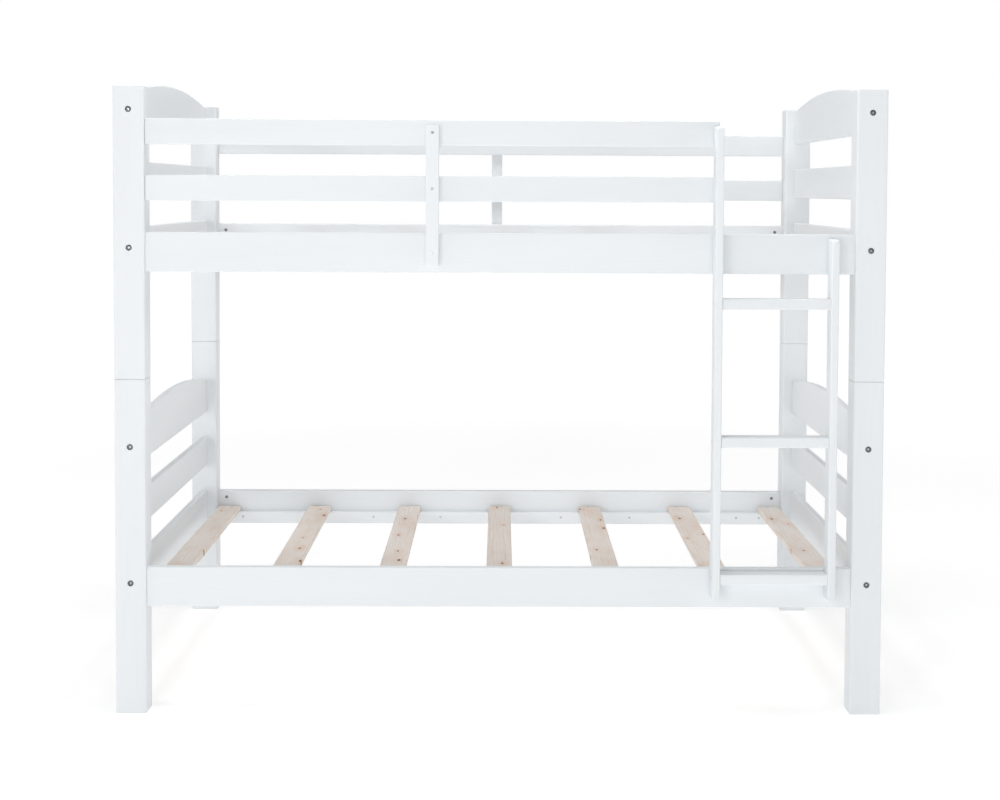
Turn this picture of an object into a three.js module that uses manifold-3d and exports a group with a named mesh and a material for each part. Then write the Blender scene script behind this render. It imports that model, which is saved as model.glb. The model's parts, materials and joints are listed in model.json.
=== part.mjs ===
/**
 * Painted pine bunk bed: two single beds stacked on dowel pins, guard rails round the upper one
 * and a straight ladder at the front right. Millimetres.
 *
 * X runs along the bed, Y from the ladder side to the back and Z up. Pieces are placed in a bed
 * frame whose Y is 0 at the front faces of the front posts, and the whole is then moved so that
 * the origin is at the middle of its footprint, on the floor.
 */
import * as THREE from 'three';
import { mergeVertices } from 'three/addons/utils/BufferGeometryUtils.js';
import Module from 'manifold-3d';

const wasm = await Module();
wasm.setup();

// ---- Driving dimensions ----
const GAP = 0.3; // left between faces that touch
const MATTRESS_LENGTH = 1907; // clear length between the end posts
const BED_DEPTH = 1068; // across the bed, over the posts
const POST_WIDTH = 83.5; // along X
const POST_DEPTH = 69; // along Y
const POST_ROUND = 5; // radius of the posts' long edges
const SPLIT_HEIGHT = 909; // where the upper posts stand on the lower ones
const POST_TOP = 1695;
const LEVEL_RISE = 907; // from any board of the lower bed to the same board of the upper one

const BOARD_ROUND = 3; // radius of the boards' long edges
const RAIL_HEIGHT = 107;
const RAIL_THICK = 25;
const RAIL_SETBACK = 8; // from the posts' outer faces to the rails' outer faces
const LOWER_RAIL_BOTTOM = 291.5;
const CLEAT_HEIGHT = 38;
const CLEAT_THICK = 22;
const CLEAT_END_PLAY = 5; // from a cleat's end to the post
const SLAT_COUNT = 7;
const SLAT_PITCH = 305;
const SLAT_WIDTH = 74;
const SLAT_THICK = 18;
const SLAT_END_PLAY = 4; // from a slat's end to the rail's inner face

const END_BOARD_THICK = 20;
const END_RAIL_BOTTOM = 302; // the three boards of the lower bed's ends
const MID_SLAT_BOTTOM = 492.5;
const MID_SLAT_HEIGHT = 96;
const ARCH_BOTTOM = 672;
const ARCH_END_HEIGHT = 109;
const ARCH_RISE = 37;
const ARCH_STEPS = 24;

const GUARD_THICK = 20;
const GUARD_HEIGHT = 69;
const GUARD_BOTTOMS = { middle: 1389.5, top: 1540 };
const GUARD_RIGHT_END = 586; // the front guard rails stop behind the ladder's left stile
const BATTEN_WIDTH = 35;
const BATTEN_THICK = 18;
const BATTEN_BOTTOM = 1218;
const BATTEN_TOP = 1594;
const FRONT_BATTEN_X = -183.5;
const REAR_BATTEN_X = -13;

const STILE_THICK = 22;
const STILE_DEPTH = 50;
const STILE_ROUND = 4;
const STILE_NOSE = 14; // radius of the stiles' upper front corners
const LEFT_STILE_X = 581; // centre line
const LADDER_WIDTH = 332; // over both stiles
const LADDER_BOTTOM = 322;
const LEFT_STILE_TOP = 1594;
const RIGHT_STILE_TOP = 1294;
const RUNG_HEIGHT = 28.5;
const RUNG_DEPTH = 45;
const RUNG_TOPS = { bottom: 393.5, middle: 764, top: 1134.5 };

const PIN_DIAMETER = 12;
const PIN_LENGTH = 90;
const PIN_PLAY = 0.4; // between a pin and its holes, on the radius
const BOLT_RECESS_DIAMETER = 17;
const BOLT_RECESS_DEPTH = 5;
const BOLT_HOLE_DIAMETER = 9;
const BORE_SIDES = 8; // facets round the hidden bolt holes
const END_BOLT_REACH = 60; // from the post's inner face into the end board
const SCREW_RECESS_DIAMETER = 9;
const SCREW_RECESS_DEPTH = 2;
const BATTEN_SCREW_HEIGHTS = [1251.5, 1424, 1574];
const BARREL_HOLE_DIAMETER = 11;
const BARREL_HOLE_DEPTH = 17;
const BARREL_FROM_RAIL_END = 26.5;
const RAIL_BOLT_DROP = 22; // from the rail's top edge to its bolt
const END_BOLT_RISE = 54; // from an end board's bottom edge to its bolt

// ---- Materials ----
const whitePaint = { color: 0xf1f2f2, roughness: 0.45, metalness: 0 };
const barePine = { color: 0xd9c3a5, roughness: 0.75, metalness: 0 };
const hardwoodDowel = { color: 0xc9a878, roughness: 0.7, metalness: 0 };

// ---- Shapes ----

/** Corner points of a rectangle whose corners are rounded, centred on the origin. */
function roundedRectangle(width, height, radius, steps = 3) {
  const points = [];
  const corners = [
    [width / 2 - radius, height / 2 - radius, 0],
    [-width / 2 + radius, height / 2 - radius, 90],
    [-width / 2 + radius, -height / 2 + radius, 180],
    [width / 2 - radius, -height / 2 + radius, 270],
  ];
  for (const [x, y, start] of corners) {
    for (let i = 0; i <= steps; i++) {
      const angle = THREE.MathUtils.degToRad(start + (90 * i) / steps);
      points.push(new THREE.Vector2(x + radius * Math.cos(angle), y + radius * Math.sin(angle)));
    }
  }
  return points;
}

/** A bar of the given section along local Z, centred, with its end edges rounded by `ease`. */
function bar(section, length, ease = 0) {
  const geometry = new THREE.ExtrudeGeometry(new THREE.Shape(section), {
    depth: length - 2 * ease,
    steps: 1,
    bevelEnabled: ease > 0,
    bevelThickness: ease,
    bevelSize: ease,
    bevelOffset: -ease,
    bevelSegments: 2,
  });
  geometry.translate(0, 0, -(length - 2 * ease) / 2);
  return geometry;
}

/** A board along X, thick along Y and tall along Z. */
function boardAlongX(length, thickness, height, radius = BOARD_ROUND, ease = 0) {
  const geometry = bar(roundedRectangle(thickness, height, radius), length, ease);
  geometry.rotateX(Math.PI / 2);
  geometry.rotateZ(Math.PI / 2);
  return geometry;
}

/** A board along Y, thick along X and tall along Z. */
function boardAlongY(length, thickness, height, radius = BOARD_ROUND, ease = 0) {
  const geometry = bar(roundedRectangle(thickness, height, radius), length, ease);
  geometry.rotateX(Math.PI / 2);
  return geometry;
}

/** A board whose outline lies in the Y-Z plane, extruded along X with its edges rounded. */
function boardFromSideOutline(outline, thickness, radius) {
  const geometry = bar(outline, thickness, radius);
  geometry.rotateX(Math.PI / 2);
  geometry.rotateZ(Math.PI / 2);
  return geometry;
}

/** The closed solid of a geometry, for joining and cutting. */
function solidOf(geometry) {
  const merged = geometry.clone();
  merged.deleteAttribute('normal');
  merged.deleteAttribute('uv');
  const welded = mergeVertices(merged, 1e-3);
  return new wasm.Manifold(new wasm.Mesh({
    numProp: 3,
    vertProperties: new Float32Array(welded.attributes.position.array),
    triVerts: new Uint32Array(welded.index.array),
  }));
}

/** The geometry with round holes taken out of it. */
function drilled(geometry, cutters) {
  let solid = solidOf(geometry);
  for (const cutter of cutters) {
    solid = solid.subtract(solidOf(cutter));
  }
  const mesh = solid.getMesh();
  const result = new THREE.BufferGeometry();
  result.setAttribute('position', new THREE.BufferAttribute(mesh.vertProperties, 3));
  result.setIndex(new THREE.BufferAttribute(mesh.triVerts, 1));
  return result;
}

/** A cutter for a round hole from `mouth` into the wood along `direction`. */
function hole(diameter, depth, mouth, direction, sides = 14) {
  const overrun = 1;
  const geometry = new THREE.CylinderGeometry(diameter / 2, diameter / 2, depth + overrun, sides);
  const turn = new THREE.Quaternion().setFromUnitVectors(new THREE.Vector3(0, 1, 0), direction);
  geometry.applyQuaternion(turn);
  const centre = mouth.clone().addScaledVector(direction, (depth - overrun) / 2);
  geometry.translate(centre.x, centre.y, centre.z);
  return geometry;
}

// ---- The bed ----
const bed = new THREE.Group();

function place(name, geometry, finish, x, y, z) {
  const mesh = new THREE.Mesh(geometry, new THREE.MeshStandardMaterial(finish));
  mesh.name = name;
  mesh.position.set(x, y, z);
  bed.add(mesh);
}

const ENDS = { left: -1, right: 1 };
const SIDES = { front: 1, rear: -1 }; // the way inwards along Y
const LEVELS = { lower: 0, upper: LEVEL_RISE };
const AXIS_X = new THREE.Vector3(1, 0, 0);
const AXIS_Y = new THREE.Vector3(0, 1, 0);
const AXIS_Z = new THREE.Vector3(0, 0, 1);

const postX = MATTRESS_LENGTH / 2 + POST_WIDTH / 2;
const outerFaceY = { front: 0, rear: BED_DEPTH };

/** Y of a plane a given distance inwards from the outer faces of one side's posts. */
const fromOuterFace = (side, distance) => outerFaceY[side] + SIDES[side] * distance;
const endBoltHeights = (rise) => [
  END_RAIL_BOTTOM + END_BOLT_RISE + rise,
  ARCH_BOTTOM + END_BOLT_RISE + rise,
];
const railBoltHeight = (rise) => LOWER_RAIL_BOTTOM + RAIL_HEIGHT - RAIL_BOLT_DROP + rise;
const railY = (side) => fromOuterFace(side, RAIL_SETBACK + RAIL_THICK / 2);

/** One of the eight posts, with its bolt holes, bolt recesses and pin hole. */
function addPost(level, side, end) {
  const bottom = level === 'lower' ? 0 : SPLIT_HEIGHT + GAP;
  const top = level === 'lower' ? SPLIT_HEIGHT : POST_TOP;
  const height = top - bottom;
  const centreZ = (bottom + top) / 2;
  const centreY = fromOuterFace(side, POST_DEPTH / 2);
  const inwards = AXIS_Y.clone().multiplyScalar(SIDES[side]);
  const towardsBed = AXIS_X.clone().multiplyScalar(-ENDS[end]);
  const cutters = [];
  for (const z of endBoltHeights(LEVELS[level])) {
    const mouth = new THREE.Vector3(0, (-SIDES[side] * POST_DEPTH) / 2, z - centreZ);
    cutters.push(hole(BOLT_RECESS_DIAMETER, BOLT_RECESS_DEPTH, mouth, inwards, 16));
    cutters.push(hole(BOLT_HOLE_DIAMETER, POST_DEPTH + 1, mouth, inwards, BORE_SIDES));
  }
  const sideMouth = new THREE.Vector3(
    (ENDS[end] * POST_WIDTH) / 2,
    railY(side) - centreY,
    railBoltHeight(LEVELS[level]) - centreZ,
  );
  cutters.push(hole(BOLT_RECESS_DIAMETER, BOLT_RECESS_DEPTH, sideMouth, towardsBed, 16));
  cutters.push(hole(BOLT_HOLE_DIAMETER, POST_WIDTH + 1, sideMouth, towardsBed, BORE_SIDES));
  const pinSide = level === 'lower' ? 1 : -1;
  const pinMouth = new THREE.Vector3(0, 0, (pinSide * height) / 2);
  const pinDirection = AXIS_Z.clone().multiplyScalar(-pinSide);
  cutters.push(hole(PIN_DIAMETER + 2 * PIN_PLAY, PIN_LENGTH / 2 + 1, pinMouth, pinDirection));
  const blank = bar(roundedRectangle(POST_WIDTH, POST_DEPTH, POST_ROUND), height, 2);
  const name = `${level}_post_${side}_${end}`;
  place(name, drilled(blank, cutters), whitePaint, ENDS[end] * postX, centreY, centreZ);
}

/** The dowel pin that stands in a lower post and locates the upper one. */
function addPin(side, end) {
  const pin = new THREE.LatheGeometry([
    new THREE.Vector2(0, -PIN_LENGTH / 2),
    new THREE.Vector2(PIN_DIAMETER / 2 - 1, -PIN_LENGTH / 2),
    new THREE.Vector2(PIN_DIAMETER / 2, -PIN_LENGTH / 2 + 1.5),
    new THREE.Vector2(PIN_DIAMETER / 2, PIN_LENGTH / 2 - 1.5),
    new THREE.Vector2(PIN_DIAMETER / 2 - 1, PIN_LENGTH / 2),
    new THREE.Vector2(0, PIN_LENGTH / 2),
  ], 14);
  pin.rotateX(Math.PI / 2);
  const y = fromOuterFace(side, POST_DEPTH / 2);
  place(`post_pin_${side}_${end}`, pin, hardwoodDowel, ENDS[end] * postX, y, SPLIT_HEIGHT);
}

/** A side rail, with the cross holes for the barrel nuts and the bolt holes in its ends. */
function addSideRail(level, side) {
  const length = MATTRESS_LENGTH - 2 * GAP;
  const blank = boardAlongX(length, RAIL_THICK, RAIL_HEIGHT);
  const outwards = AXIS_Y.clone().multiplyScalar(-SIDES[side]);
  const boltZ = RAIL_HEIGHT / 2 - RAIL_BOLT_DROP;
  const cutters = [];
  for (const end of [-1, 1]) {
    const barrelX = end * (length / 2 - BARREL_FROM_RAIL_END);
    const innerFace = new THREE.Vector3(barrelX, (SIDES[side] * RAIL_THICK) / 2, boltZ);
    cutters.push(hole(BARREL_HOLE_DIAMETER, BARREL_HOLE_DEPTH, innerFace, outwards));
    const endGrain = new THREE.Vector3((end * length) / 2, 0, boltZ);
    const alongRail = AXIS_X.clone().multiplyScalar(-end);
    cutters.push(hole(BOLT_HOLE_DIAMETER, BARREL_FROM_RAIL_END, endGrain, alongRail, BORE_SIDES));
  }
  const z = LOWER_RAIL_BOTTOM + RAIL_HEIGHT / 2 + LEVELS[level];
  place(`${level}_side_rail_${side}`, drilled(blank, cutters), whitePaint, 0, railY(side), z);
}

/** The strip along a side rail's inner face that carries the slats. */
function addCleat(level, side) {
  const y = fromOuterFace(side, RAIL_SETBACK + RAIL_THICK + GAP + CLEAT_THICK / 2);
  const z = LOWER_RAIL_BOTTOM + CLEAT_HEIGHT / 2 + LEVELS[level];
  const cleat = boardAlongX(MATTRESS_LENGTH - 2 * CLEAT_END_PLAY, CLEAT_THICK, CLEAT_HEIGHT, 2);
  place(`${level}_cleat_${side}`, cleat, whitePaint, 0, y, z);
}

/** One slat across the bed, lying on both cleats. */
function addSlat(level, index) {
  const length = BED_DEPTH - 2 * (RAIL_SETBACK + RAIL_THICK + SLAT_END_PLAY);
  const slat = boardAlongY(length, SLAT_WIDTH, SLAT_THICK, 2.5);
  const x = (index - (SLAT_COUNT - 1) / 2) * SLAT_PITCH;
  const z = LOWER_RAIL_BOTTOM + CLEAT_HEIGHT + GAP + SLAT_THICK / 2 + LEVELS[level];
  place(`${level}_slat_${index + 1}`, slat, barePine, x, BED_DEPTH / 2, z);
}

/** Side outline of an arched board: a flat bottom edge and one shallow arc along the top. */
function archOutline(length) {
  const points = [new THREE.Vector2(-length / 2, 0), new THREE.Vector2(length / 2, 0)];
  const half = length / 2;
  const radius = (half * half + ARCH_RISE * ARCH_RISE) / (2 * ARCH_RISE);
  const halfAngle = Math.asin(half / radius);
  for (let i = 0; i <= ARCH_STEPS; i++) {
    const angle = halfAngle * (1 - (2 * i) / ARCH_STEPS);
    const drop = radius * (1 - Math.cos(angle));
    points.push(new THREE.Vector2(radius * Math.sin(angle), ARCH_END_HEIGHT + ARCH_RISE - drop));
  }
  return points;
}

/** Cutters for the bolt holes in both ends of an end board, at local height z. */
function endGrainHoles(length, z) {
  return Object.values(SIDES).map((inwards) => {
    const mouth = new THREE.Vector3(0, (-inwards * length) / 2, z);
    const direction = AXIS_Y.clone().multiplyScalar(inwards);
    return hole(BOLT_HOLE_DIAMETER, END_BOLT_REACH, mouth, direction, BORE_SIDES);
  });
}

/** The three boards of a bed end, each between a front and a rear post. */
function addEnd(level, end) {
  const length = BED_DEPTH - 2 * POST_DEPTH - 2 * GAP;
  const x = ENDS[end] * postX;
  const rise = LEVELS[level];
  const boltZ = END_BOLT_RISE - RAIL_HEIGHT / 2;
  const endRail = drilled(
    boardAlongY(length, END_BOARD_THICK, RAIL_HEIGHT),
    endGrainHoles(length, boltZ),
  );
  const railZ = END_RAIL_BOTTOM + RAIL_HEIGHT / 2 + rise;
  place(`${level}_end_rail_${end}`, endRail, whitePaint, x, BED_DEPTH / 2, railZ);
  const midSlat = boardAlongY(length, END_BOARD_THICK, MID_SLAT_HEIGHT);
  const midZ = MID_SLAT_BOTTOM + MID_SLAT_HEIGHT / 2 + rise;
  place(`${level}_mid_slat_${end}`, midSlat, whitePaint, x, BED_DEPTH / 2, midZ);
  const arch = drilled(
    boardFromSideOutline(archOutline(length), END_BOARD_THICK, BOARD_ROUND),
    endGrainHoles(length, END_BOLT_RISE),
  );
  place(`${level}_arched_board_${end}`, arch, whitePaint, x, BED_DEPTH / 2, ARCH_BOTTOM + rise);
}

/** The guard rails of one side and the batten that ties them to the upper side rail. */
function addGuard(side) {
  const left = -MATTRESS_LENGTH / 2 + GAP;
  const right = side === 'front' ? GUARD_RIGHT_END : MATTRESS_LENGTH / 2 - GAP;
  const y = fromOuterFace(side, RAIL_SETBACK + GUARD_THICK / 2);
  for (const [row, bottom] of Object.entries(GUARD_BOTTOMS)) {
    const rail = boardAlongX(right - left, GUARD_THICK, GUARD_HEIGHT, BOARD_ROUND, 2);
    const z = bottom + GUARD_HEIGHT / 2;
    place(`guard_rail_${row}_${side}`, rail, whitePaint, (left + right) / 2, y, z);
  }
  const battenHeight = BATTEN_TOP - BATTEN_BOTTOM;
  const blank = bar(roundedRectangle(BATTEN_WIDTH, BATTEN_THICK, BOARD_ROUND), battenHeight, 2);
  const inwards = AXIS_Y.clone().multiplyScalar(SIDES[side]);
  const recesses = BATTEN_SCREW_HEIGHTS.map((height) => {
    const z = height - BATTEN_BOTTOM - battenHeight / 2;
    const mouth = new THREE.Vector3(0, (-SIDES[side] * BATTEN_THICK) / 2, z);
    return hole(SCREW_RECESS_DIAMETER, SCREW_RECESS_DEPTH, mouth, inwards);
  });
  const batten = drilled(blank, recesses);
  const x = side === 'front' ? FRONT_BATTEN_X : REAR_BATTEN_X;
  const battenY = fromOuterFace(side, RAIL_SETBACK - GAP - BATTEN_THICK / 2);
  place(`guard_batten_${side}`, batten, whitePaint, x, battenY, (BATTEN_TOP + BATTEN_BOTTOM) / 2);
}

/** Side outline of a ladder stile: a tall strip whose upper front corner is well rounded. */
function stileOutline(height) {
  const points = [
    new THREE.Vector2(-STILE_DEPTH / 2, -height / 2),
    new THREE.Vector2(STILE_DEPTH / 2, -height / 2),
    new THREE.Vector2(STILE_DEPTH / 2, height / 2),
  ];
  const steps = 5;
  for (let i = 0; i <= steps; i++) {
    const angle = THREE.MathUtils.degToRad(90 + (90 * i) / steps);
    points.push(new THREE.Vector2(
      -STILE_DEPTH / 2 + STILE_NOSE + STILE_NOSE * Math.cos(angle),
      height / 2 - STILE_NOSE + STILE_NOSE * Math.sin(angle),
    ));
  }
  return points;
}

/** The ladder: two stiles of unequal height against the rails' faces, and three flat rungs. */
function addLadder() {
  const stileSpacing = LADDER_WIDTH - STILE_THICK;
  const backY = RAIL_SETBACK - GAP;
  const stiles = {
    left: { x: LEFT_STILE_X, top: LEFT_STILE_TOP },
    right: { x: LEFT_STILE_X + stileSpacing, top: RIGHT_STILE_TOP },
  };
  for (const [end, { x, top }] of Object.entries(stiles)) {
    const blank = boardFromSideOutline(stileOutline(top - LADDER_BOTTOM), STILE_THICK, STILE_ROUND);
    const z = (top + LADDER_BOTTOM) / 2;
    const towardsRungs = AXIS_X.clone().multiplyScalar(-ENDS[end]);
    const recesses = Object.values(RUNG_TOPS).map((rungTop) => {
      const height = rungTop - RUNG_HEIGHT / 2 - z;
      const mouth = new THREE.Vector3((ENDS[end] * STILE_THICK) / 2, 0, height);
      return hole(SCREW_RECESS_DIAMETER, SCREW_RECESS_DEPTH, mouth, towardsRungs);
    });
    const stile = drilled(blank, recesses);
    place(`ladder_stile_${end}`, stile, whitePaint, x, backY - STILE_DEPTH / 2, z);
  }
  const rungLength = LADDER_WIDTH - 2 * STILE_THICK - 2 * GAP;
  for (const [row, top] of Object.entries(RUNG_TOPS)) {
    const rung = boardAlongX(rungLength, RUNG_DEPTH, RUNG_HEIGHT, STILE_ROUND);
    const x = LEFT_STILE_X + stileSpacing / 2;
    place(`ladder_rung_${row}`, rung, whitePaint, x, backY - STILE_DEPTH / 2, top - RUNG_HEIGHT / 2);
  }
}

for (const end of Object.keys(ENDS)) {
  for (const side of Object.keys(SIDES)) {
    addPost('lower', side, end);
    addPin(side, end);
    addPost('upper', side, end);
  }
}
for (const level of Object.keys(LEVELS)) {
  for (const end of Object.keys(ENDS)) {
    addEnd(level, end);
  }
  for (const side of Object.keys(SIDES)) {
    addSideRail(level, side);
    addCleat(level, side);
  }
  for (let index = 0; index < SLAT_COUNT; index++) {
    addSlat(level, index);
  }
}
for (const side of Object.keys(SIDES)) {
  addGuard(side);
}
addLadder();

// ---- Origin at the middle of the footprint ----
const frontmost = RAIL_SETBACK - GAP - STILE_DEPTH;
const rearmost = BED_DEPTH - RAIL_SETBACK + GAP + BATTEN_THICK;
bed.position.y = -(frontmost + rearmost) / 2;

const group = new THREE.Group();
group.add(bed);
export default group;
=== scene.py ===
"""The looks of a painted pine bunk bed with a ladder: paint, bare wood, fasteners and a studio.

Metres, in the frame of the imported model: X along the bed towards the ladder's end, Y from the
ladder side to the back, Z up. Places are worked out from the model's own pieces.
"""
import json
import math
import random

import bmesh
import bpy
from mathutils import Matrix, Vector


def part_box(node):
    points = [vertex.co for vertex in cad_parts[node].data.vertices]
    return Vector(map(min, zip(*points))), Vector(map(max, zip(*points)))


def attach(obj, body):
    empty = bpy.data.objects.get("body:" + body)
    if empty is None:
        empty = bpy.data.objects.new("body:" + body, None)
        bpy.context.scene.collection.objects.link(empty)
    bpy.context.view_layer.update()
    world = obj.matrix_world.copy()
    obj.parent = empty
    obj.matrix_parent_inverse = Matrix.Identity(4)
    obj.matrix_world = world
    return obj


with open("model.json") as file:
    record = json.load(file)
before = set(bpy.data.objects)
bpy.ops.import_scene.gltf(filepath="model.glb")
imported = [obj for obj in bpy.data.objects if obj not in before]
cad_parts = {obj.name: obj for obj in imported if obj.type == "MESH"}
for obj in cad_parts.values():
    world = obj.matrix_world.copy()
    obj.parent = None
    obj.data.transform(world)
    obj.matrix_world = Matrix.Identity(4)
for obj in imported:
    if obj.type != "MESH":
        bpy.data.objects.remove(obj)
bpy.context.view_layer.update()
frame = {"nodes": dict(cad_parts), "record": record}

MM = 0.001
LEVELS = {"lower": "lower_bed", "upper": "upper_bed"}  # and the body that each level rides on
SIDES = {"front": -1, "rear": 1}  # and the way outwards along Y
ENDS = {"left": -1, "right": 1}  # and the way outwards along X
SLATS = range(1, 8)
turns = random.Random(11)  # each fastener stops at its own angle, and some off their line


# ---- Materials ----

def colour(code):
    """A linear colour from an sRGB hex code."""
    parts = [int(code[i:i + 2], 16) / 255 for i in (1, 3, 5)]
    linear = [c / 12.92 if c <= 0.04045 else ((c + 0.055) / 1.055) ** 2.4 for c in parts]
    return (*linear, 1.0)


def add_node(tree, kind, settings=(), **sockets):
    """Adds a node with its settings and sockets.

    A socket is named, or numbered as n0, n1 and so on. It is given a plain value, or a
    (node, output) pair that is linked to it.
    """
    node = tree.nodes.new(kind)
    for name, value in dict(settings).items():
        setattr(node, name, value)
    for name, value in sockets.items():
        key = int(name[1:]) if name[0] == "n" and name[1:].isdigit() else name.replace("_", " ")
        if isinstance(value, tuple) and isinstance(value[0], bpy.types.Node):
            tree.links.new(value[0].outputs[value[1]], node.inputs[key])
        else:
            node.inputs[key].default_value = value
    return node


def new_material(name, **shader_values):
    """An empty material with its shader, and the place of each point on the bed."""
    material = bpy.data.materials.new(name)
    material.use_nodes = True
    tree = material.node_tree
    shader = tree.nodes["Principled BSDF"]
    for socket, value in shader_values.items():
        shader.inputs[socket.replace("_", " ")].default_value = value
    place = add_node(tree, "ShaderNodeTexCoord")
    return material, tree, shader, (place, "Object")


def stretched(tree, place, grain_axis, share):
    """Coordinates for a pattern drawn out along the grain, where it changes `share` as fast."""
    scale = [1.0, 1.0, 1.0]
    scale["XYZ".index(grain_axis)] = share
    node = add_node(tree, "ShaderNodeMapping", Vector=place, Scale=scale)
    return node, "Vector"


def noise(tree, where, size_mm, detail):
    """Cloudy noise whose blotches are about `size_mm` across."""
    node = add_node(
        tree, "ShaderNodeTexNoise", Vector=where, Scale=1 / (size_mm * MM),
        Detail=detail, Roughness=0.5)
    return node, "Fac"


def between(tree, value, low, high, to_low=0.0, to_high=1.0):
    """Stretches the part of a value from `low` to `high` over a new range."""
    node = add_node(
        tree, "ShaderNodeMapRange", Value=value, From_Min=low, From_Max=high,
        To_Min=to_low, To_Max=to_high)
    return node, "Result"


def times(tree, value, factor):
    """A value made stronger or weaker by a plain factor."""
    node = add_node(tree, "ShaderNodeMath", {"operation": "MULTIPLY"}, n0=value, n1=factor)
    return node, "Value"


def blended(tree, share, first, second):
    """One colour laid over another by a share from 0 to 1."""
    settings = {"data_type": "RGBA"}
    # The Mix node has its two colours at inputs 6 and 7, and the blended colour at output 2.
    node = add_node(tree, "ShaderNodeMix", settings, n0=share, n6=first, n7=second)
    return node, 2


def relief(tree, height, depth_mm, **under):
    """Raises the surface by a height from 0 to 1, over an earlier relief given as Normal."""
    node = add_node(tree, "ShaderNodeBump", Height=height, Distance=depth_mm * MM, **under)
    return node, "Normal"


def feed(tree, shader, **looks):
    """Links finished values, such as the colour and the gloss, to a shader's sockets."""
    for socket, (node, output) in looks.items():
        tree.links.new(node.outputs[output], shader.inputs[socket.replace("_", " ")])


PAINT_WHITE = "#E5E9EC"
PAINT_SHADE = "#E1E5E8"
PAINT_OVER_LATE_WOOD = "#D5D9DC"

EARLY_WOOD_LIGHT = "#E8E3DE"
EARLY_WOOD_DARK = "#DFD7D0"
LATE_WOOD = "#CBB7A7"
WOOD_FIBRES = "#C2AB9A"
HEARTWOOD = "#DDB494"
RESIN = "#D8A987"
KNOT_BROWN = "#7E5D49"
KNOTS_PER_METRE = (11.0, 5.0, 1.0)  # across and along a slat; each knot runs through its thickness
RING_WAVE_SCALE = 36.0  # a growth ring every 9 mm or so
RING_WANDER = 14.0


def sprayed_paint(grain_axis):
    """Satin white lacquer, sprayed over planed pine and rubbed down between coats.

    It looks even and cool white. Close up, the harder late wood stands proud in fine ridges
    along the board, the spray leaves a slight orange peel, and the gloss varies a little.
    """
    name = "satin_white_lacquer_on_pine_" + grain_axis.lower()
    material, tree, shader, place = new_material(
        name, IOR=1.5, Coat_Weight=0.06, Coat_Roughness=0.3)
    along = stretched(tree, place, grain_axis, 0.03)
    ridges = noise(tree, along, 5, detail=3)
    boards = noise(tree, stretched(tree, place, grain_axis, 0.15), 160, detail=1)
    peel = noise(tree, place, 2.5, detail=1)
    thin = between(tree, ridges, 0.35, 0.75)
    uneven = between(tree, boards, 0.3, 0.7)
    base = blended(tree, uneven, colour(PAINT_WHITE), colour(PAINT_SHADE))
    grained = blended(tree, times(tree, thin, 0.12), base, colour(PAINT_OVER_LATE_WOOD))
    gloss = between(tree, boards, 0.3, 0.7, 0.40, 0.52)
    surface = relief(tree, peel, 0.02, Normal=relief(tree, thin, 0.08))
    feed(tree, shader, Base_Color=grained, Roughness=gloss, Normal=surface)
    return material


def planed_pine():
    """Pine planed on four sides and left bare, with its grain along Y.

    It looks pale pink and matt, with darker late-wood lines that wander along the slat, warmer
    patches of heartwood and resin, small brown knots that the lines swell round, and fine fibres.
    """
    material, tree, shader, place = new_material("planed_bare_pine", IOR=1.5)
    knot_places = add_node(tree, "ShaderNodeMapping", Vector=place, Scale=KNOTS_PER_METRE)
    cells = add_node(
        tree, "ShaderNodeTexVoronoi", {"feature": "F1", "voronoi_dimensions": "2D"},
        Vector=(knot_places, "Vector"), Scale=1.0, Randomness=1.0)
    knot_sizes = between(tree, (cells, "Color"), 0.25, 0.75, 0.45, 1.1)
    divided = add_node(
        tree, "ShaderNodeMath", {"operation": "DIVIDE"}, n0=(cells, "Distance"), n1=knot_sizes)
    reach = (divided, "Value")
    knot = between(tree, reach, 0.035, 0.065, 1.0, 0.0)
    swell = between(tree, reach, 0.05, 0.30, 1.0, 0.0)
    along = stretched(tree, place, "Y", 0.05)
    pushed = add_node(
        tree, "ShaderNodeVectorMath", {"operation": "ADD"}, n0=along, n1=times(tree, swell, 0.012))
    rings = add_node(
        tree, "ShaderNodeTexWave", {"bands_direction": "X", "wave_profile": "SAW"},
        Vector=(pushed, "Vector"), Scale=RING_WAVE_SCALE, Distortion=RING_WANDER, Detail=3.0,
        Detail_Scale=0.8)
    late_wood = between(tree, (rings, "Fac"), 0.45, 1.0)
    fibres = noise(tree, stretched(tree, place, "Y", 0.02), 1.2, detail=3)
    planks = noise(tree, stretched(tree, place, "Y", 0.25), 90, detail=1)
    tone = between(tree, planks, 0.3, 0.7)
    early = blended(tree, tone, colour(EARLY_WOOD_LIGHT), colour(EARLY_WOOD_DARK))
    patches = noise(tree, stretched(tree, place, "Y", 0.35), 34, detail=2)
    warmth = between(tree, patches, 0.5, 0.78, 0.0, 0.36)
    warm = blended(tree, warmth, early, colour(HEARTWOOD))
    resin = between(tree, reach, 0.05, 0.34, 0.30, 0.0)
    resinous = blended(tree, resin, warm, colour(RESIN))
    ringed = blended(tree, times(tree, late_wood, 0.42), resinous, colour(LATE_WOOD))
    fibre_share = between(tree, fibres, 0.35, 0.8, 0.0, 0.22)
    fibred = blended(tree, fibre_share, ringed, colour(WOOD_FIBRES))
    knotted = blended(tree, knot, fibred, colour(KNOT_BROWN))
    matt = between(tree, late_wood, 0.0, 1.0, 0.78, 0.62)
    surface = relief(tree, fibres, 0.05, Normal=relief(tree, late_wood, 0.1))
    feed(tree, shader, Base_Color=knotted, Roughness=matt, Normal=surface)
    return material


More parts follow.
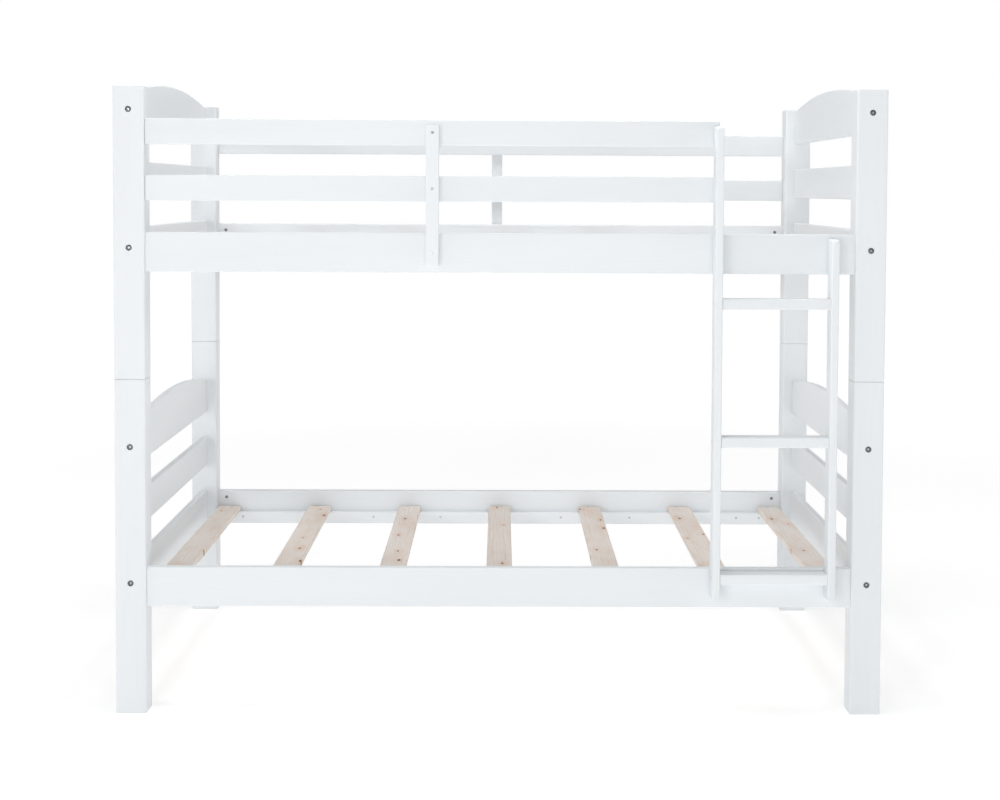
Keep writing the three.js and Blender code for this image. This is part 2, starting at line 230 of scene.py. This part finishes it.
def turned_beech():
    """Beech dowel, turned and left bare: tan, with short dark flecks along the pin."""
    material, tree, shader, place = new_material("turned_beech", IOR=1.5, Roughness=0.62)
    flecks = noise(tree, stretched(tree, place, "Z", 0.2), 0.8, detail=2)
    share = between(tree, flecks, 0.52, 0.68)
    base = blended(tree, share, colour("#D9B98C"), colour("#A67F52"))
    feed(tree, shader, Base_Color=base, Normal=relief(tree, flecks, 0.05))
    return material


def zinc_plate(name, light, dark, roughness):
    """Steel with a thin electroplated zinc skin, a little cloudy, with fine pits."""
    material, tree, shader, place = new_material(name, Metallic=1.0)
    clouds = noise(tree, place, 4, detail=3)
    share = between(tree, clouds, 0.35, 0.65)
    base = blended(tree, share, colour(light), colour(dark))
    gloss = between(tree, clouds, 0.3, 0.7, roughness, roughness + 0.12)
    surface = relief(tree, noise(tree, place, 0.5, detail=1), 0.01)
    feed(tree, shader, Base_Color=base, Roughness=gloss, Normal=surface)
    return material


# The lamps under the paper are weak near the bed, at the first distance in metres from the
# middle of the floor, and strong from the second on.
PAPER_GLOW_FROM, PAPER_GLOW_TO = 1.8, 6.0
PAPER_GLOW_WEAK, PAPER_GLOW_STRONG = 0.31, 0.64


def studio_paper():
    """Matt white background paper with a faint tooth, which lamps under and behind it brighten."""
    material, tree, shader, place = new_material(
        "matt_white_paper", Roughness=0.9, Base_Color=colour("#FBFBFB"),
        Emission_Color=colour("#FFFFFF"))
    away = add_node(tree, "ShaderNodeVectorMath", {"operation": "LENGTH"}, n0=place)
    glow = between(
        tree, (away, "Value"), PAPER_GLOW_FROM, PAPER_GLOW_TO, PAPER_GLOW_WEAK, PAPER_GLOW_STRONG)
    surface = relief(tree, noise(tree, place, 3, detail=2), 0.05)
    feed(tree, shader, Emission_Strength=glow, Normal=surface)
    return material


# ---- Pieces made by hand ----

def nothing_selected():
    for thing in bpy.context.selected_objects:
        thing.select_set(False)


def work_on(piece):
    """Selects one piece alone and makes it the active one."""
    nothing_selected()
    piece.select_set(True)
    bpy.context.view_layer.objects.active = piece


def cylinder(name, radius, top, bottom, sides):
    """A closed cylinder about the Z axis, as the start of a turned piece."""
    nothing_selected()
    bpy.ops.mesh.primitive_cylinder_add(
        vertices=sides, radius=radius, depth=top - bottom, location=(0, 0, (top + bottom) / 2))
    piece = bpy.context.active_object
    piece.name = name
    bpy.ops.object.transform_apply(location=True, rotation=True, scale=True)
    return piece


def select_end_face(piece, level, upward):
    """In edit mode, selects the flat face at one end of a turned piece."""
    bpy.ops.mesh.select_mode(type="FACE")
    mesh = bmesh.from_edit_mesh(piece.data)
    for face in mesh.faces:
        faces_out = face.normal.z > 0.9 if upward else face.normal.z < -0.9
        face.select_set(faces_out and abs(face.calc_center_median().z - level) < 1e-6)
    bmesh.update_edit_mesh(piece.data)


def drawn_out(piece, level, sections):
    """Extrudes the lower end face through sections, each a (radius, level) of the next ring."""
    work_on(piece)
    bpy.ops.object.mode_set(mode="EDIT")
    select_end_face(piece, level, upward=False)
    radius = max(Vector(v.co[:2]).length for v in piece.data.vertices)
    for next_radius, next_level in sections:
        move = {"value": (0, 0, next_level - level)}
        bpy.ops.mesh.extrude_region_move(TRANSFORM_OT_translate=move)
        ratio = next_radius / radius
        bpy.ops.transform.resize(
            value=(ratio, ratio, 1), center_override=(0, 0, next_level))
        radius, level = next_radius, next_level
    bpy.ops.object.mode_set(mode="OBJECT")


def rim_bevelled(piece, width):
    """Rounds the sharp rims that stand at more than 50 degrees."""
    work_on(piece)
    bevel = piece.modifiers.new("rims", "BEVEL")
    bevel.width = width
    bevel.segments = 2
    bevel.limit_method = "ANGLE"
    bevel.angle_limit = math.radians(50)
    bpy.ops.object.modifier_apply(modifier=bevel.name)


def cut_by(piece, cutter):
    """Takes a cutter out of a piece, and the cutter away."""
    work_on(piece)
    cut = piece.modifiers.new("cut", "BOOLEAN")
    cut.operation = "DIFFERENCE"
    cut.solver = "EXACT"
    cut.object = cutter
    bpy.ops.object.modifier_apply(modifier=cut.name)
    bpy.data.objects.remove(cutter)


def smoothed(piece):
    work_on(piece)
    bpy.ops.object.shade_smooth_by_angle(angle=math.radians(40))


DRIVER_TAPER = 0.45  # the blades' size at the floor of the recess, as a share of that at the top


def driver_cross(top, depth, span, width):
    """The cutter for a cross recess: two blades that taper to the recess's floor."""
    nothing_selected()
    blades = []
    for angle in (0, 90):
        bpy.ops.mesh.primitive_cube_add(size=1, location=(0, 0, top))
        blade = bpy.context.active_object
        blade.scale = (span, width, 2 * depth)
        blade.rotation_euler.z = math.radians(angle)
        bpy.ops.object.transform_apply(location=True, rotation=True, scale=True)
        bpy.ops.object.mode_set(mode="EDIT")
        select_end_face(blade, top - depth, upward=False)
        bpy.ops.transform.resize(
            value=(DRIVER_TAPER, DRIVER_TAPER, 1), center_override=(0, 0, top - depth))
        bpy.ops.object.mode_set(mode="OBJECT")
        blades.append(blade)
    join = blades[0].modifiers.new("join", "BOOLEAN")
    join.operation = "UNION"
    join.object = blades[1]
    work_on(blades[0])
    bpy.ops.object.modifier_apply(modifier=join.name)
    bpy.data.objects.remove(blades[1])
    return blades[0]


# Bolts, from the face of the post inwards. The recess in the post is 17 mm wide and 5 mm deep.
BOLT_HEAD_RADIUS = 7.2 * MM
BOLT_HEAD_TOP = -1.0 * MM
BOLT_HEAD_BOTTOM = -4.6 * MM
BOLT_SHANK_RADIUS = 3.9 * MM
BOLT_HEAD_ROUNDING = 0.5 * MM
END_BOLT_LENGTH = 118 * MM
RAIL_BOLT_LENGTH = 114 * MM
THREADED_LENGTH = 30 * MM
THREAD_DEPTH = 0.55 * MM
THREAD_PITCH = 2.0 * MM
THREAD_TURNS = 14
SOCKET_RADIUS = 3.3 * MM
SOCKET_FLOOR = -3.1 * MM


def furniture_bolt(name, length, painted_shade_zinc, painted_highlight_zinc):
    """A flat-headed bolt with a hexagon socket, threaded near its tip."""
    bolt = cylinder(name, BOLT_HEAD_RADIUS, BOLT_HEAD_TOP, BOLT_HEAD_BOTTOM, 32)
    tip = -length
    thread_start = tip + THREADED_LENGTH
    sections = [(BOLT_SHANK_RADIUS, BOLT_HEAD_BOTTOM), (BOLT_SHANK_RADIUS, thread_start)]
    for turn in range(THREAD_TURNS):
        groove = thread_start - (turn + 0.5) * THREAD_PITCH
        sections.append((BOLT_SHANK_RADIUS - THREAD_DEPTH, groove))
        sections.append((BOLT_SHANK_RADIUS, groove - THREAD_PITCH / 2))
    sections.append((BOLT_SHANK_RADIUS * 0.7, tip))
    drawn_out(bolt, BOLT_HEAD_BOTTOM, sections)
    rim_bevelled(bolt, BOLT_HEAD_ROUNDING)
    cut_by(bolt, cylinder("socket_cutter", SOCKET_RADIUS, 2 * MM, SOCKET_FLOOR, 6))
    # The head takes the darker zinc, painted shade of its recess, and the socket the lighter zinc,
    # a painted highlight in its hollow.
    bolt.data.materials.append(painted_shade_zinc)
    bolt.data.materials.append(painted_highlight_zinc)
    for face in bolt.data.polygons:
        near_axis = face.center.xy.length < SOCKET_RADIUS * 0.97
        in_socket = near_axis and face.center.z > SOCKET_FLOOR - 1e-5
        face.material_index = 1 if in_socket else 0
    smoothed(bolt)
    return bolt


# Barrel nuts, from the rail's inner face inwards. The hole in the rail is a little wider.
BARREL_RADIUS = 5.3 * MM
BARREL_TOP = -1.2 * MM
BARREL_BOTTOM = -16 * MM
BARREL_ROUNDING = 0.6 * MM
BARREL_SLOT = (14 * MM, 1.6 * MM, 3.2 * MM)  # the cutter's size; half its height goes in
BARREL_BOLT_LEVEL = -9.0 * MM
BARREL_BOLT_WAY_RADIUS = 3.4 * MM


def barrel_nut(name, finish):
    """A cross dowel: a steel barrel across the rail that the rail's bolt screws into."""
    nut = cylinder(name, BARREL_RADIUS, BARREL_TOP, BARREL_BOTTOM, 28)
    rim_bevelled(nut, BARREL_ROUNDING)
    nothing_selected()
    bpy.ops.mesh.primitive_cube_add(size=1, location=(0, 0, BARREL_TOP))
    slot_cutter = bpy.context.active_object
    slot_cutter.scale = BARREL_SLOT
    bpy.ops.object.transform_apply(location=True, rotation=True, scale=True)
    cut_by(nut, slot_cutter)
    bolt_way = cylinder("bolt_way_cutter", BARREL_BOLT_WAY_RADIUS, 8 * MM, -8 * MM, 16)
    bolt_way.data.transform(Matrix.Rotation(math.radians(90), 4, "Y"))
    bolt_way.data.transform(Matrix.Translation((0, 0, BARREL_BOLT_LEVEL)))
    cut_by(nut, bolt_way)
    # The nut's finish is the grey zinc copy, painted shade of its hole.
    nut.data.materials.append(finish)
    smoothed(nut)
    return nut


# Wood screws. The thread is drawn as separate ridges, and coarser than a real one.
SCREW_HEAD_EDGE = 0.6 * MM
SCREW_NECK_RADIUS = 1.7 * MM
SCREW_CORE_RADIUS = 1.3 * MM
SCREW_THREAD_RADIUS = 2.0 * MM
SCREW_POINT_RADIUS = 0.2 * MM
SCREW_POINT_LENGTH = 4 * MM
SCREW_PITCH = 3 * MM
SCREW_RECESS = (1.6 * MM, 4.6 * MM, 1.1 * MM)  # depth, span and width of the driver's blades


def wood_screw(name, head_radius, head_top, length, finish):
    """A countersunk screw with a cross recess and a coarse thread down to its point."""
    head_bottom = head_top - SCREW_HEAD_EDGE
    screw = cylinder(name, head_radius, head_top, head_bottom, 20)
    level = head_bottom - (head_radius - SCREW_NECK_RADIUS)
    thread_end = head_top - length + SCREW_POINT_LENGTH
    sections = [(SCREW_NECK_RADIUS, level)]
    while level - SCREW_PITCH > thread_end:
        sections.append((SCREW_CORE_RADIUS, level - SCREW_PITCH / 2))
        sections.append((SCREW_THREAD_RADIUS, level - SCREW_PITCH))
        level -= SCREW_PITCH
    sections.append((SCREW_POINT_RADIUS, head_top - length))
    drawn_out(screw, head_bottom, sections)
    cut_by(screw, driver_cross(head_top, *SCREW_RECESS))
    screw.data.materials.append(finish)
    smoothed(screw)
    return screw


def fitted(model, name, place, outwards, body):
    """Puts a copy of a fastener, with its own mesh, where it belongs, turned as it was left."""
    piece = bpy.data.objects.new(name, model.data.copy())
    bpy.context.scene.collection.objects.link(piece)
    aim = Vector((0, 0, 1)).rotation_difference(Vector(outwards)).to_matrix().to_4x4()
    spin = Matrix.Rotation(turns.uniform(0, math.tau), 4, "Z")
    piece.data.transform(Matrix.Translation(place) @ aim @ spin)
    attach(piece, body)


# ---- The fasteners in their places ----

END_BOLT_RISE = 54 * MM  # from an end board's lower edge
RAIL_BOLT_DROP = 22 * MM  # from a side rail's upper edge
BARREL_FROM_RAIL_END = 26.5 * MM
BATTEN_SCREW_HEIGHTS = (33.5 * MM, 206 * MM, 356 * MM)  # above the batten's lower end
CLEAT_SCREW_PLACES = (-867, -426, -200, 208, 441, 803, 880)  # mm along the cleat from the middle
CLEAT_SCREW_HEIGHT = 0.6  # as a share of the cleat's height
SLAT_SCREW_SCATTER = 12 * MM  # to each side of a slat's middle


def post_bolts(model):
    """Two bolts through each post into the ends of the end rail and the arched board."""
    for level, body in LEVELS.items():
        for end in ENDS:
            for side, way in SIDES.items():
                low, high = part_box(f"{level}_post_{side}_{end}")
                face = low.y if way < 0 else high.y
                for board in ("end_rail", "arched_board"):
                    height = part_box(f"{level}_{board}_{end}")[0].z + END_BOLT_RISE
                    place = ((low.x + high.x) / 2, face, height)
                    fitted(model, f"{level}_{board}_bolt_{side}_{end}", place, (0, way, 0), body)


def rail_bolts(bolt, nut):
    """A bolt along the bed through each post, and the barrel nut in the side rail that takes it."""
    for level, body in LEVELS.items():
        for side, way in SIDES.items():
            low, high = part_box(f"{level}_side_rail_{side}")
            middle = (low.y + high.y) / 2
            height = high.z - RAIL_BOLT_DROP
            inner_face = high.y if way < 0 else low.y
            for end, out in ENDS.items():
                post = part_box(f"{level}_post_{side}_{end}")
                post_face = post[0].x if out < 0 else post[1].x
                rail_end = low.x if out < 0 else high.x
                name = f"{level}_side_rail_bolt_{side}_{end}"
                fitted(bolt, name, (post_face, middle, height), (out, 0, 0), body)
                nut_place = (rail_end - out * BARREL_FROM_RAIL_END, inner_face, height)
                fitted(nut, f"{level}_barrel_nut_{side}_{end}", nut_place, (0, -way, 0), body)


def batten_screws(model):
    """Three screws through each guard batten, into the side rail and both guard rails."""
    for side, way in SIDES.items():
        low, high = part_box(f"guard_batten_{side}")
        face = low.y if way < 0 else high.y
        for number, rise in enumerate(BATTEN_SCREW_HEIGHTS, 1):
            place = ((low.x + high.x) / 2, face, low.z + rise)
            fitted(model, f"batten_screw_{side}_{number}", place, (0, way, 0), "upper_bed")


def ladder_screws(model):
    """A screw through each stile into each end of the three rungs."""
    for end, out in ENDS.items():
        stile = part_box(f"ladder_stile_{end}")
        face = stile[0].x if out < 0 else stile[1].x
        for rung in ("bottom", "middle", "top"):
            low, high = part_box(f"ladder_rung_{rung}")
            place = (face, (low.y + high.y) / 2, (low.z + high.z) / 2)
            fitted(model, f"{rung}_rung_screw_{end}", place, (out, 0, 0), "upper_bed")


def cleat_screws(model):
    """Seven screws hold each cleat to its side rail, at the listed places."""
    for level, body in LEVELS.items():
        for side, way in SIDES.items():
            low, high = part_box(f"{level}_cleat_{side}")
            face = high.y if way < 0 else low.y
            height = low.z + CLEAT_SCREW_HEIGHT * (high.z - low.z)
            for number, along in enumerate(CLEAT_SCREW_PLACES, 1):
                place = (along * MM, face, height)
                name = f"{level}_cleat_screw_{side}_{number}"
                fitted(model, name, place, (0, -way, 0), body)


def slat_screws(model):
    """A screw down through each end of each slat into the cleat."""
    for level, body in LEVELS.items():
        for side in SIDES:
            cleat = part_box(f"{level}_cleat_{side}")
            across = (cleat[0].y + cleat[1].y) / 2
            for number in SLATS:
                low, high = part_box(f"{level}_slat_{number}")
                off_centre = turns.uniform(-SLAT_SCREW_SCATTER, SLAT_SCREW_SCATTER)
                place = ((low.x + high.x) / 2 + off_centre, across, high.z)
                fitted(model, f"{level}_slat_screw_{side}_{number}", place, (0, 0, 1), body)


def add_fasteners():
    # A darker copy of the zinc plate: painted shade of the recess that each bolt head sits in.
    painted_shade_zinc = zinc_plate("zinc_plate_dark_painted_shade", "#6E7275", "#5A5E61", 0.34)
    # A grey copy of the zinc plate: painted shade of the hole that each barrel nut sits in.
    painted_shade_grey_zinc = zinc_plate("zinc_plate_grey_painted_shade", "#9A9EA2", "#7D8185", 0.3)
    # A lighter copy of the zinc plate: a painted highlight, in the bolts' sockets and on the screw
    # heads.
    painted_highlight_zinc = zinc_plate("zinc_plate_light_painted_highlight", "#C3C7CB", "#A4A9AE", 0.24)
    end_bolt = furniture_bolt("end_bolt_model", END_BOLT_LENGTH, painted_shade_zinc, painted_highlight_zinc)
    rail_bolt = furniture_bolt("rail_bolt_model", RAIL_BOLT_LENGTH, painted_shade_zinc, painted_highlight_zinc)
    nut = barrel_nut("barrel_nut_model", painted_shade_grey_zinc)
    recessed_screw = wood_screw(
        "recessed_screw_model", head_radius=4.2 * MM, head_top=-0.3 * MM, length=36 * MM,
        finish=painted_highlight_zinc)
    proud_screw = wood_screw(
        "proud_screw_model", head_radius=3.8 * MM, head_top=0.3 * MM, length=30 * MM,
        finish=painted_highlight_zinc)
    post_bolts(end_bolt)
    rail_bolts(rail_bolt, nut)
    batten_screws(recessed_screw)
    ladder_screws(recessed_screw)
    cleat_screws(proud_screw)
    slat_screws(proud_screw)
    for model in (end_bolt, rail_bolt, nut, recessed_screw, proud_screw):
        bpy.data.objects.remove(model)


# ---- Finishes on the model's own pieces ----

def grain_axis_of(node):
    """Boards are cut with their grain along their longest side."""
    low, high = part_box(node)
    size = high - low
    return "XYZ"[max(range(3), key=lambda axis: size[axis])]


def finish_wood():
    paints = {axis: sprayed_paint(axis) for axis in "XYZ"}
    pine = planed_pine()
    beech = turned_beech()
    slots = {row["node"]: row["material_slot"] for row in frame["record"]["subparts"]}
    for node, board in frame["nodes"].items():
        slot = slots[node]
        finish = paints[grain_axis_of(node)]
        if slot == "bare_pine":
            finish = pine
        elif slot == "hardwood_dowel":
            finish = beech
        board.data.materials.clear()
        board.data.materials.append(finish)


# ---- Studio ----

def add_floor():
    nothing_selected()
    bpy.ops.mesh.primitive_plane_add(size=60)
    floor = bpy.context.active_object
    floor.name = "studio_floor"
    floor.data.materials.append(studio_paper())


def soft_box(name, place, aim, width, height, power):
    """A softbox: an area light of a size in metres and a power in watts, turned towards an aim."""
    data = bpy.data.lights.new(name, "AREA")
    data.shape = "RECTANGLE"
    data.size = width
    data.size_y = height
    data.energy = power
    light = bpy.data.objects.new(name, data)
    light.location = place
    light.rotation_euler = (Vector(aim) - Vector(place)).to_track_quat("-Z", "Y").to_euler()
    light.visible_camera = False
    bpy.context.scene.collection.objects.link(light)


def white_studio(walls, backdrop):
    """White walls all round that light the bed evenly, and a brighter backdrop behind it."""
    world = bpy.data.worlds.new("white_studio")
    world.use_nodes = True
    tree = world.node_tree
    seen = add_node(tree, "ShaderNodeLightPath")
    strength = between(tree, (seen, "Is Camera Ray"), 0, 1, walls, backdrop)
    background = tree.nodes["Background"]
    background.inputs["Color"].default_value = colour("#FFFFFF")
    feed(tree, background, Strength=strength)
    bpy.context.scene.world = world


BED_MIDDLE = (0, 0, 0.8)
LOWER_SLATS = (0, 0.3, 0.35)


def add_light():
    """A key light at the front left, a low fill, side panels, a softbox overhead, white walls."""
    soft_box("key_light", (-3.6, -7.0, 2.0), BED_MIDDLE, width=1.3, height=1.1, power=66)
    soft_box("low_fill", (0, -4.7, 0.8), LOWER_SLATS, width=3.0, height=0.5, power=26)
    soft_box("left_panel", (-5, -1.5, 1.5), BED_MIDDLE, width=2.0, height=2.5, power=25)
    soft_box("right_panel", (5, -1.5, 1.5), BED_MIDDLE, width=2.0, height=2.5, power=21)
    soft_box("overhead_light", (0, -0.3, 4.0), (0, -0.3, 0), width=3.0, height=2.0, power=85)
    white_studio(walls=0.38, backdrop=1.0)


CAMERA_PLACE = (-0.002, -4.4895, 1.420)  # 4 m in front of the bed, level with the guard rails
CAMERA_TURN = -0.484  # degrees about the vertical, towards the ladder's end
CAMERA_TILT = 2.29  # degrees down from level
CAMERA_ROLL = 0.271  # degrees about its own axis
FOCAL_LENGTH = 53.38  # mm
SENSOR_WIDTH = 36  # mm
LENS_SHIFT = (-0.0125, -0.150)  # sideways and up, as shares of the sensor's width


def add_camera():
    """A camera near level, with its lens shifted down, so that upright posts stay near upright."""
    data = bpy.data.cameras.new("front_camera")
    data.lens = FOCAL_LENGTH
    data.sensor_width = SENSOR_WIDTH
    data.shift_x, data.shift_y = LENS_SHIFT
    data.clip_end = 100
    camera = bpy.data.objects.new("front_camera", data)
    turn = Matrix.Rotation(math.radians(CAMERA_TURN), 4, "Z")
    tilt = Matrix.Rotation(math.radians(90 - CAMERA_TILT), 4, "X")
    roll = Matrix.Rotation(math.radians(CAMERA_ROLL), 4, "Z")
    camera.matrix_world = Matrix.Translation(CAMERA_PLACE) @ turn @ tilt @ roll
    bpy.context.scene.collection.objects.link(camera)
    bpy.context.scene.camera = camera
    bpy.context.scene.view_settings.view_transform = "Standard"


add_camera()
add_light()
add_floor()
finish_wood()
add_fasteners()
